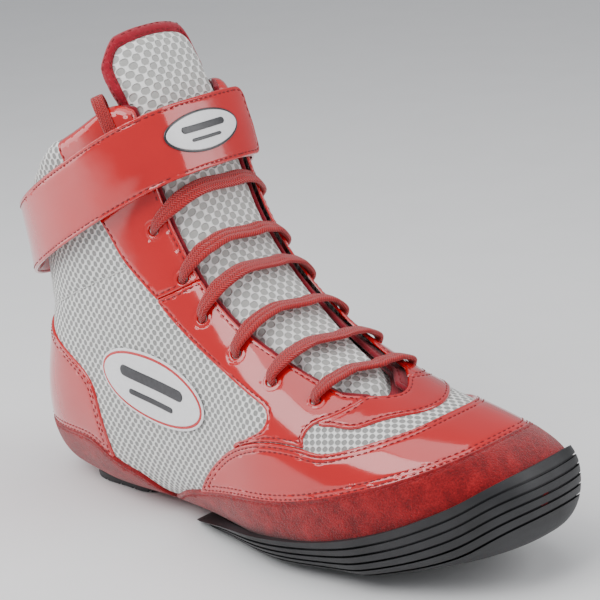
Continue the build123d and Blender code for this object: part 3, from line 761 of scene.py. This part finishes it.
PATENT = patent()
SUEDE = suede()
# the second colour of each mesh is painted shade for its openings
MESH = open_mesh("mesh_white", 4.3, 5.0, 1.24, (0.88, 0.885, 0.86), (0.30, 0.30, 0.29))
TONGUE_MESH = open_mesh("tongue_mesh", 5.2, 6.2, 1.62, (0.90, 0.90, 0.88), (0.42, 0.42, 0.40))
BINDING = woven("binding_crimson", (0.22, 0.003, 0.012), (0.46, 0.008, 0.03), 0.9, 0.7)
FACING = woven("facing_red", (0.13, 0.003, 0.010), (0.34, 0.006, 0.02), 1.0, 0.8)
LINING = woven("lining_red", (0.20, 0.004, 0.012), (0.42, 0.010, 0.03), 1.6, 1.3)
SOCK = woven("sock_grey", (0.10, 0.10, 0.105), (0.24, 0.24, 0.25), 1.5, 1.2)
TAPE = woven("tape_black", (0.012, 0.012, 0.014), (0.07, 0.07, 0.08), 0.9, 0.9, 0.95)
LACE = braid()
RUBBER = rubber()
THREAD = plain("thread_red", (0.20, 0.002, 0.006), (0.38, 0.004, 0.012), 0.55, 1500.0)
THREAD_DARK = plain("thread_dark", (0.12, 0.002, 0.004), (0.26, 0.003, 0.008), 0.6, 1500.0)
THREAD_WHITE = plain("thread_white", (0.62, 0.62, 0.60), (0.84, 0.84, 0.82), 0.7, 1500.0)
BADGE = plain("badge_white", (0.80, 0.80, 0.81), (0.86, 0.86, 0.87), 0.25, 500.0, 0.05, 0.0002,
              Coat_Weight=0.5, Coat_Roughness=0.1)
BADGE_DARK = plain("badge_dark", (0.012, 0.012, 0.016), (0.03, 0.03, 0.036), 0.3, 500.0, 0.05, 0.0002,
                   Coat_Weight=0.4, Coat_Roughness=0.1)
BADGE_RED = plain("badge_red", (0.50, 0.006, 0.010), (0.62, 0.010, 0.016), 0.25, 500.0, 0.05, 0.0002,
                  Coat_Weight=0.5, Coat_Roughness=0.1)


def finish_piece(piece, body, slot, *nodes):
    """Gives a piece its body and hides the CAD nodes it stands for; slot is not used."""
    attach(piece, body)
    if nodes:
        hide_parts(*nodes)
    return piece


def sew(panel, name, material, slot, node, seams, thread_material, where=None):
    """A sheet sewn to the boot: the sheet itself, then its stitches."""
    finish_piece(panel.build(name, material), "boot", slot, node)
    paths = [path for seam in seams for path in panel.seam_paths(seam)]
    finish_piece(stitches(name + "_stitches", paths, thread_material, where), "boot", slot)


# ---------------------------------------------------------------- upper

shell = Skin(0.0)
side_y = shell.points[..., 1]
top = shell.region("side", TOP_LINE)
opening = shell.region("throat", slot_outline(0.0, 0.0))
heel_band = shell.region("side", HEEL_BAND)
toe_band = shell.region("side", TOE_BAND)
counter = shell.region("side", COUNTER)
overlay = shell.region("side", OVERLAY)
lower_stay = shell.region("side", LOWER_STAY)
upper_stay = shell.region("side", UPPER_STAY)
throat = np.where(shell.points[..., 2] > 55, shell.region("top", THROAT), -50.0)
eyelet_gap = round_eyelets(shell)
collar_seam = shell.region("side", COLLAR_SEAM)
above_mesh_edge = -shell.region("side", below_line(FLOOR, -2.5))
lateral = -side_y


def smallest(*fields):
    return np.minimum.reduce([np.broadcast_to(field, shell.points.shape[:2]) for field in fields])


band_overlap = smallest(1.5 - heel_band, 1.5 - toe_band)
patent_pieces = {
    "heel_counter": (smallest(counter, band_overlap), 1.25, (1.7, 3.7), "heel_counter_patent"),
    "toe_overlay": (smallest(overlay, band_overlap), 1.45, (1.7, 3.7), "toe_overlay"),
}
lower_visible = smallest(lower_stay, 1.5 - overlay)
for height, stay, thick in (("lower", lower_visible, 1.05), ("upper", upper_stay, 1.35)):
    for side_name, side in (("lateral", lateral), ("medial", -lateral)):
        name = f"eyestay_{height}_{side_name}"
        patent_pieces[name] = (smallest(stay, -opening, side - 8, eyelet_gap), thick, (1.9,), name)
throat_field = smallest(throat, -opening, 0.6 - lower_stay, 0.6 - overlay)
patent_pieces["throat_piece"] = (throat_field, 1.15, (1.9,), "throat_piece")


def away_from_eyelets(spots):
    gaps = [np.linalg.norm(spots - centre, axis=1) for centre in eyelets]
    return np.minimum.reduce(gaps) > 4.9


for name, (field, thick, seams, node) in patent_pieces.items():
    panel = Panel(shell, field, thick, 0.05, seams=seams, sink=top)
    sew(panel, name, PATENT, "patent_red", node, seams, THREAD_DARK, away_from_eyelets)


def above_the_welt(spots):
    return spots[:, 2] > 8.0


for name, zone, other in (("suede_heel", heel_band, toe_band), ("suede_toe", toe_band, heel_band)):
    panel = Panel(shell, smallest(zone, 0.3 - other), 1.85, radius=1.2, seams=(2.1,), seam_depth=0.35)
    sew(panel, name, SUEDE, "suede_red", name + "_cup", (2.1,), THREAD, above_the_welt)

# Mesh sides: open sheets that curl in over the collar
MESH_EDGE = 0.8         # the mesh ends this far short of the throat slot
quarter = smallest(above_mesh_edge, -MESH_EDGE - opening, -shell.region("side", corners(
    (163.2, -20), (188.2, 110), (188.2, 160), (320, 160), (320, -20))))
puff = 0.9 * smoothstep(collar_seam, 0.0, 14.0) - 0.7 * np.exp(-(collar_seam / 1.6) ** 2)
for name, side, hidden in (("quarter_mesh_lateral", lateral, ("quarter_foam_lateral", "counter_stiffener")),
                           ("quarter_mesh_medial", -lateral, ("quarter_foam_medial",))):
    body = smallest(quarter, side + 0.4)
    panel = Panel(shell, body, 0.0, np.minimum(puff, 0.35), radius=0.3, sink=top)
    made_piece = panel.build(name, MESH)
    flatten(made_piece)
    finish_piece(made_piece, "boot", "mesh_white", name, *hidden)
vamp = smallest(above_mesh_edge, -MESH_EDGE - opening, shell.region("side", corners(
    (161, -20), (186, 110), (186, 160), (320, 160), (320, -20))))
panel = Panel(shell, vamp, 0.0, -0.05, radius=0.3, sink=top)
vamp_piece = panel.build("vamp_mesh_cloth", MESH)
flatten(vamp_piece)
finish_piece(vamp_piece, "boot", "mesh_white", "vamp_mesh", "vamp_backing", "toe_puff")

# Collar: seam stitches outside, and a lip that meets the mesh along the top edge
seam_zone = smallest(collar_seam + 5.0, top - 3.0, -upper_stay - 1.0)
panel = Panel(shell, np.where(seam_zone > 0, collar_seam + 5.0, -9.0), 0.0, -0.3, radius=0.3, seams=(5.0,),
              seam_depth=0.0)
finish_piece(stitches("collar_seam_stitches", panel.seam_paths(5.0), THREAD_WHITE), "boot", "mesh_white")

LIP_RADIUS = 4.8
deep = Skin(-9.4, first=3.0)
deep_top = deep.region("side", TOP_LINE)
behind_tongue = -deep.region("side", [[(x - 1.2, z - 1.2) for x, z in TONGUE_REAR]] + corners(
    (140, 238), (245, 100), (232, 46)))
deep_collar = deep.region("side", COLLAR_SEAM)
lip = np.minimum.reduce([deep_top, behind_tongue, deep_collar])
lip_low = -LIP_RADIUS * (1 - quarter_round(deep_top / LIP_RADIUS))
panel = Panel(deep, lip, -0.2, lip_low, radius=1.2, inward=True, seams=(9.0,), seam_depth=0.6)
collar_piece = panel.build("collar_cloth", LINING)
finish_piece(collar_piece, "boot", "lining_red", "collar_padding", "collar_lining")

lining_skin = Skin(-5.9, first=2.0)
lining_field = np.minimum.reduce([
    lining_skin.region("side", TOP_LINE) - 1.5,
    -lining_skin.region("throat", slot_outline(3.2, 4.0)),
    -lining_skin.region("side", below_line(FLOOR, 2.5)),
])
panel = Panel(lining_skin, lining_field, 0.3, 0.0, inward=True)
finish_piece(panel.build("inner_lining", LINING), "boot", "lining_red", "lining")

sock_skin = Skin(-7.8, first=2.0)
panel = Panel(sock_skin, sock_skin.region("side", below_line(FLOOR, 3.5)), 0.4, 0.0, radius=1.5, inward=True,
              seams=(4.0,), seam_depth=0.5)
finish_piece(panel.build("insole_sock", SOCK), "boot", "sock_grey", "insole", "insole_board", "lasting_sock")

# Cloth facings between the tongue and the eyestays
facing_skin = Skin(-2.9, first=2.0)
facing_field = np.minimum.reduce([
    facing_skin.region("side", [[(x + 2, z + 2) for x, z in TONGUE_REAR]] + corners(
        (140, 232), (240, 100), (226, 52))),
    -facing_skin.region("throat", slot_outline(3.2, 4.0)),
    facing_skin.region("side", TOP_LINE) - 1.0,
    round_eyelets(facing_skin, 2.0),
])
for name, side in (("facing_lateral", -1), ("facing_medial", 1)):
    own = np.minimum(facing_field, side * facing_skin.points[..., 1] - 8.0)
    panel = Panel(facing_skin, own, 2.4, -1.2, radius=1.1, closed=True, seams=(2.3,))
    finish_piece(panel.build(name + "_cloth", FACING), "boot", "facing_red", name)
    finish_piece(stitches(name + "_stitches", panel.seam_paths(2.3), THREAD_DARK), "boot", "facing_red")


# ---------------------------------------------------------------- tongue

FOLD_HEIGHT = 196.6
tongue_skin = Skin(-7.9, first=2.0)
tongue_skin.v = np.repeat(tongue_skin.v[:, :1], tongue_skin.v.shape[1], axis=1)
tongue_z = tongue_skin.points[..., 2]
tongue_zone = tongue_skin.region("side", [TONGUE_REAR] + corners((140, 232), (240, 100), (228, 50)))
tip_zone = tongue_skin.region("front", [TIP[1:-1]] + corners((31, 20), (-31, 20)))
crown = tongue_skin.region("throat", slot_outline(5.0, 6.0))
front_side = tongue_skin.points[..., 0] > 40
tongue_field = np.where(front_side, rounded_corner(tongue_zone, tip_zone, 17.0), -50.0)
lift = np.maximum(smoothstep(crown, -4.0, 4.0), smoothstep(tongue_z, FOLD_HEIGHT - 6, FOLD_HEIGHT + 4))
high = 4.9 * lift
bound = tongue_z > 150
cloth_field = np.where(bound, tongue_field - 4.8, tongue_field)
panel = Panel(tongue_skin, cloth_field, 5.2 + high, -5.2, radius=6.0, closed=True)
tongue_piece = panel.build("tongue_cloth", TONGUE_MESH)
binding_field = np.where(bound, np.minimum(tongue_field, 6.8 - tongue_field), -5.0)
panel = Panel(tongue_skin, binding_field, 4.8 + high, -5.0, radius=3.0, closed=True, seams=(1.7,))
binding_piece = panel.build("tongue_edge_binding", BINDING)
binding_thread = stitches("binding_stitches", panel.seam_paths(1.7), THREAD_DARK)
for piece, slot in ((tongue_piece, "tongue_mesh"), (binding_piece, "binding_crimson"),
                    (binding_thread, "binding_crimson")):
    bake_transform(piece)
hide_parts("tongue", "tongue_top")
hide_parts("tongue_binding")


# ---------------------------------------------------------------- strap

CLIMB = math.radians(29.0)
BAND_START = (15.5, 107.4)
BAND_WIDTH = 31.5
FRONT_FOLD = 89.3
STRAP_END_Y = 30.5


def along_band(points):
    return ((points[..., 0] - BAND_START[0]) * math.cos(CLIMB)
            + (points[..., 2] - BAND_START[1]) * math.sin(CLIMB))


def across_band(points):
    return (-(points[..., 0] - BAND_START[0]) * math.sin(CLIMB)
            + (points[..., 2] - BAND_START[1]) * math.cos(CLIMB))


def band_field(skin, inset=0.0):
    up = across_band(skin.points)
    return skin.true_distance(np.minimum(up, BAND_WIDTH - up) - inset)


strap_skin = Skin(6.0, below=3.0, first=9.0)
sy = strap_skin.points[..., 1]
strap_edge = band_field(strap_skin)
end_front = strap_skin.true_distance(STRAP_END_Y - sy)
over = rounded_corner(strap_edge, end_front, 6.0)
round_back = rounded_corner(strap_edge, strap_skin.true_distance(88.0 - along_band(strap_skin.points)), 6.0)
strap_field = np.where(sy < 4, strap_edge, -9.0)
front_side = along_band(strap_skin.points) > 91.0
strap_field = np.where((sy >= 4) & front_side, over, strap_field)
strap_field = np.where((sy >= 4) & ~front_side, round_back, strap_field)
panel = Panel(strap_skin, strap_field, 1.5, 0.0, radius=0.7, closed=True, seams=(1.7,))
SPLIT_REAR, SPLIT_FRONT = 8.0, 54.0


def rear(spots):
    return (along_band(spots) < SPLIT_REAR) | ((spots[:, 1] > 3.9) & (along_band(spots) < 89.5))


def middle(spots):
    return ~rear(spots) & (along_band(spots) < SPLIT_FRONT)


def ahead(spots):
    return ~rear(spots) & (along_band(spots) >= SPLIT_FRONT)


def to_frame(x, y, z):
    return ((x - CENTRE[0]) * MM, (y - CENTRE[1]) * MM, z * MM)


REAR_BEND = (to_frame(15.0, -33.0, 126.0), to_frame(32.0, -42.0, 134.0))
FRONT_BEND = (to_frame(76.0, -46.0, 160.0), to_frame(98.0, -37.0, 168.0))
seam_lines = panel.seam_paths(1.7)
strap_parts = (("strap_rear_band", rear, None, "strap_back"),
               ("strap_side_band", middle, REAR_BEND, "strap_side"),
               ("strap_front_band", ahead, FRONT_BEND, "strap_front"))
for name, zone, bend, node in strap_parts:
    band = panel.build(name, PATENT, select=zone)
    thread = stitches(name + "_stitches", seam_lines, THREAD_DARK, zone)
    for piece in (band, thread):
        if bend is None:
            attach(piece, "boot")
        elif node == "strap_side":
            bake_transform(piece)
        else:
            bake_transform(piece)
    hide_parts(node)

def strip(distance, inset, y_low, start, thick, radius, y_high=None, seams=()):
    """A flat strip along the strap's line, from a side limit and a distance along the band."""
    skin = Skin(distance, first=9.0)
    y = skin.points[..., 1]
    far_limit = skin.region("side", TOP_LINE) if y_high is None else y_high - y
    past_start = along_band(skin.points) - start
    field = np.minimum.reduce([band_field(skin, inset), y - y_low, past_start, far_limit])
    return Panel(skin, field, thick, radius=radius, closed=True, seams=seams)


panel = strip(2.3, 0.5, 9.0, 52.0, 1.2, 0.6, seams=(1.9,))
sew(panel, "strap_catch_tab", PATENT, "patent_red", "strap_tab", (1.9,), THREAD_DARK)
panel = strip(3.8, 3.0, 11.0, 80.0, 0.8, 0.4)
finish_piece(panel.build("loop_tape_cloth", TAPE), "boot", "tape_black", "loop_tape")
panel = strip(5.1, 2.5, 6.0, FRONT_FOLD + 6, 0.5, 0.25, y_high=STRAP_END_Y + 1.2)
finish_piece(panel.build("hook_tape_cloth", TAPE), "strap_front", "tape_black", "hook_tape")


# ---------------------------------------------------------------- badges

def tilted(centre, u, v, tilt):
    """A point u along and v up from a centre, on axes turned by tilt degrees."""
    turn = math.radians(tilt)
    return (centre[0] + u * math.cos(turn) - v * math.sin(turn),
            centre[1] + u * math.sin(turn) + v * math.cos(turn))


def ellipse(centre, half_length, half_height, tilt, count=48):
    angle = np.arange(count) * 2 * math.pi / count
    u, v = half_length * np.cos(angle), half_height * np.sin(angle)
    return [[tilted(centre, a, b, tilt)] for a, b in zip(u, v)]


def bar(centre, shift, half_length, half_height, tilt):
    """Outline of a plain bar with round ends, set at a shift across and up from a badge's centre."""
    outline = []
    for end in (1, -1):
        for k in range(9):
            a = (k / 8 - 0.5) * math.pi + (0 if end > 0 else math.pi)
            u = shift[0] + end * (half_length - half_height) + half_height * math.cos(a)
            v = shift[1] + half_height * math.sin(a)
            outline.append([tilted(centre, u, v, tilt)])
    return outline


def badge(name, skin, view, centre, half_length, half_height, tilt, body, node, red_ring, facing):
    """A raised oval badge: a rim, a white face and two plain bars."""
    away = np.where(facing, 0.0, 99.0)
    whole = skin.region(view, ellipse(centre, half_length, half_height, tilt)) - away
    rim = Panel(skin, whole, 0.65, 0.0, radius=0.4, closed=True)
    finish_piece(rim.build(name + "_rim", BADGE if red_ring else BADGE_DARK), body, "badge_white", node)
    inset = 1.0
    if red_ring:
        ring = Panel(skin, whole - 1.1, 0.85, 0.0, radius=0.35, closed=True)
        finish_piece(ring.build(name + "_ring", BADGE_RED), body, "badge_white")
        inset = 2.3
    face = Panel(skin, whole - inset, 1.0, 0.0, radius=0.4, closed=True)
    finish_piece(face.build(name + "_face", BADGE), body, "badge_white")
    size = half_height
    bars = (((0.0, size * 0.20), half_length * 0.60, size * 0.17),
            ((0.0, -size * 0.34), half_length * 0.42, size * 0.09))
    for number, (shift, long, tall) in enumerate(bars):
        shape = skin.region(view, bar(centre, shift, long, tall, tilt)) - away
        mark = Panel(skin, shape, 1.3, 0.0, radius=0.35, closed=True)
        finish_piece(mark.build(f"{name}_bar_{number + 1}", BADGE_DARK), body, "badge_white")


fine = dict(rows=26, half=250)
badge_skin = Skin(7.6, below=3.0, first=12.0, last=20.0, **fine)
badge("strap_badge_oval", badge_skin, "front", (-4, 180.5), 21, 8.8, 0, "strap_front", "strap_badge", False,
      badge_skin.points[..., 0] > 70)
side_skin = Skin(0.5, first=4.0, last=16.0, **fine)
badge("side_badge_oval", side_skin, "side", (103, 67.6), 35, 16.5, -9, "boot", "side_badge", True,
      side_skin.points[..., 1] < -10)


# ---------------------------------------------------------------- lace

def lace_path():
    """(slice, share, side, distance from the form, width, thickness) along the whole lace."""
    outside, inside = 3.2, -6.75
    first_row, first_share = EYELETS[0]
    path = [(first_row + 0.28 - 0.07 * k, first_share + 0.04 - 0.01 * k, -1, inside, 5.0, 1.4)
            for k in range(4)]
    for number, (row, share) in enumerate(EYELETS):
        near = -1 if number % 2 == 0 else 1
        half = {}
        for side in (-1, 1):
            own_row = row + (MEDIAL_SHIFT if side > 0 else 0.0)
            half[side] = [(own_row, share, side, -5.4, 3.0, 2.8), (own_row, share, side, -2.0, 3.0, 3.0),
                          (own_row, share, side, 1.0, 3.2, 3.0),
                          (own_row, share - 0.018, side, 3.0, 5.6, 2.6)]
            for k in range(1, 5):
                near_middle = (share - 0.04) * (1 - k / 5)
                half[side].append((own_row, near_middle, side, outside - 1.4 * k / 5, 8.6, 2.5))
        path += half[near] + half[-near][::-1]
        if number + 1 < len(EYELETS):
            shift = MEDIAL_SHIFT if near < 0 else 0.0
            next_row, next_share = EYELETS[number + 1]
            path += [(row + shift + (next_row - row) * k / 6, share + (next_share - share) * k / 6,
                      -near, inside, 5.6, 1.4) for k in range(1, 6)]
    tail = ((12.9, 0.19, inside), (14.0, 0.20, inside), (15.2, 0.215, inside), (16.4, 0.235, inside),
            (17.5, 0.255, inside), (18.4, 0.27, inside), (19.0, 0.27, -5.2), (19.2, 0.27, -2.2),
            (19.15, 0.27, 0.9), (18.8, 0.268, 2.9), (18.1, 0.262, 3.1), (17.2, 0.25, 3.1), (16.2, 0.24, 3.1))
    return path + [(row, share, -1, distance, 5.8, 1.4) for row, share, distance in tail]


def flat_ribbon(name, path, material):
    """A flat lace swept along the path, with its map in millimetres."""
    centres = np.array([on_form(*step[:4]) for step in path])
    outward = np.array([on_form(*step[:3], 1.0) - on_form(*step[:3], -1.0) for step in path])
    outward = unit(outward)
    sizes = np.array([step[4:] for step in path])
    chord = arc_length(centres)
    want = np.linspace(0, chord[-1], int(chord[-1] / 0.9))
    place = np.interp(want, chord, np.arange(len(path)))
    index = np.clip(place.astype(int), 0, len(path) - 2)
    f = (place - index)[:, None]
    before, after = centres[np.maximum(index - 1, 0)], centres[np.minimum(index + 2, len(path) - 1)]
    p, q = centres[index], centres[index + 1]
    line = 0.5 * (2 * p + (q - before) * f + (2 * before - 5 * p + 4 * q - after) * f ** 2
                  + (3 * p - before - 3 * q + after) * f ** 3)
    up = outward[index] * (1 - f) + outward[index + 1] * f
    size = sizes[index] * (1 - f) + sizes[index + 1] * f
    ahead = unit(np.gradient(line, axis=0))
    across = np.cross(up, ahead)
    steep = np.linalg.norm(across, axis=1) < 0.45
    good = np.flatnonzero(~steep)
    for k in range(3):
        across[steep, k] = np.interp(np.flatnonzero(steep), good, across[good, k])
    signs = np.ones(len(across))
    for i in range(1, len(across)):
        signs[i] = signs[i - 1] * (1 if np.dot(across[i], across[i - 1]) >= 0 else -1)
    across *= signs[:, None]
    across = square_to(across, ahead)
    for _ in range(3):
        across[1:-1] = (across[:-2] + across[1:-1] * 2 + across[2:]) / 4
    across = square_to(across, ahead)
    up = np.cross(ahead, across)
    sides = 20
    angle = np.arange(sides) * 2 * math.pi / sides
    flat = np.sign(np.cos(angle)) * np.abs(np.cos(angle)) ** 0.6
    tall = np.sign(np.sin(angle)) * np.abs(np.sin(angle)) ** 0.8
    rings = (line[:, None] + across[:, None] * (flat[None, :, None] * size[:, None, :1] / 2)
             + up[:, None] * (tall[None, :, None] * size[:, None, 1:] / 2))
    faces = [(i * sides + j, i * sides + (j + 1) % sides, (i + 1) * sides + (j + 1) % sides,
              (i + 1) * sides + j) for i in range(len(line) - 1) for j in range(sides)]
    faces += [tuple(range(sides))[::-1], tuple(range((len(line) - 1) * sides, len(line) * sides))]
    real = arc_length(line)
    map_across = np.repeat(flat[None], len(line), 0) * 3.8 + 50.8
    uv = np.stack([map_across, np.repeat(real[:, None], sides, 1)], axis=-1)
    return new_object(name, rings.reshape(-1, 3), faces, material, uv.reshape(-1, 2)), real[-1]


lace_piece, lace_length = flat_ribbon("lace_ribbon", lace_path(), LACE)
finish_piece(lace_piece, "boot", "lace_red", "lace")
print(f"lace length {lace_length:.0f} mm")


# ---------------------------------------------------------------- sole, camera, lights

for node in ("outsole_forefoot", "outsole_heel_pad"):
    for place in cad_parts[node].material_slots:
        place.link = "OBJECT"
        place.material = RUBBER


def direction(azimuth, elevation):
    a, e = math.radians(azimuth), math.radians(elevation)
    return Vector((math.sin(a) * math.cos(e), -math.cos(a) * math.cos(e), math.sin(e)))


def look(azimuth, elevation, roll, distance, target, lens):
    a, r = math.radians(azimuth), math.radians(roll)
    back = direction(azimuth, elevation)
    right = Vector((math.cos(a), math.sin(a), 0))
    up = back.cross(right)
    turned = right * math.cos(r) + up * math.sin(r)
    raised = up * math.cos(r) - right * math.sin(r)
    data = bpy.data.cameras.new("camera")
    data.lens = lens
    data.sensor_width = 36
    camera = add_object("camera", data)
    camera.matrix_world = Matrix.Translation(target + back * distance) @ Matrix(
        (turned, raised, back)).transposed().to_4x4()
    bpy.context.scene.camera = camera


def softbox(name, azimuth, elevation, distance, width, height, power):
    back = direction(azimuth, elevation)
    data = bpy.data.lights.new(name, "AREA")
    data.shape = "RECTANGLE"
    data.size, data.size_y, data.energy = width, height, power
    lamp = add_object(name, data)
    lamp.location = Vector((0, 0, 0.1)) + back * distance
    lamp.rotation_mode = "QUATERNION"
    lamp.rotation_quaternion = (-back).to_track_quat("-Z", "Y")


look(45, 17.5, -5, 1.0, Vector((-0.00246, 0.0218, 0.098)), 132)
softbox("key", -5, 48, 1.1, 0.9, 0.7, 9.5)
softbox("left_panel", -62, 18, 0.9, 0.5, 0.8, 3)
softbox("right_panel", 118, 26, 1.0, 0.6, 0.8, 4.5)
softbox("overhead", 60, 84, 1.2, 1.0, 1.0, 5.5)

world = bpy.data.worlds.new("studio")
bpy.context.scene.world = world
world.use_nodes = True
world.node_tree.nodes["Background"].inputs["Color"].default_value = (0.93, 0.95, 1.0, 1.0)
world.node_tree.nodes["Background"].inputs["Strength"].default_value = 0.45

floor_mesh = bpy.data.meshes.new("floor")
floor_corners = [(x, y, -0.0004) for x, y in ((-4, -4), (4, -4), (4, 4), (-4, 4))]
floor_mesh.from_pydata(floor_corners, [], [(0, 1, 2, 3)])
floor = add_object("floor", floor_mesh)
floor_mesh.materials.append(plain("floor_paper", (0.86, 0.86, 0.86), (0.88, 0.88, 0.88), 0.8, 20.0, 0.0))
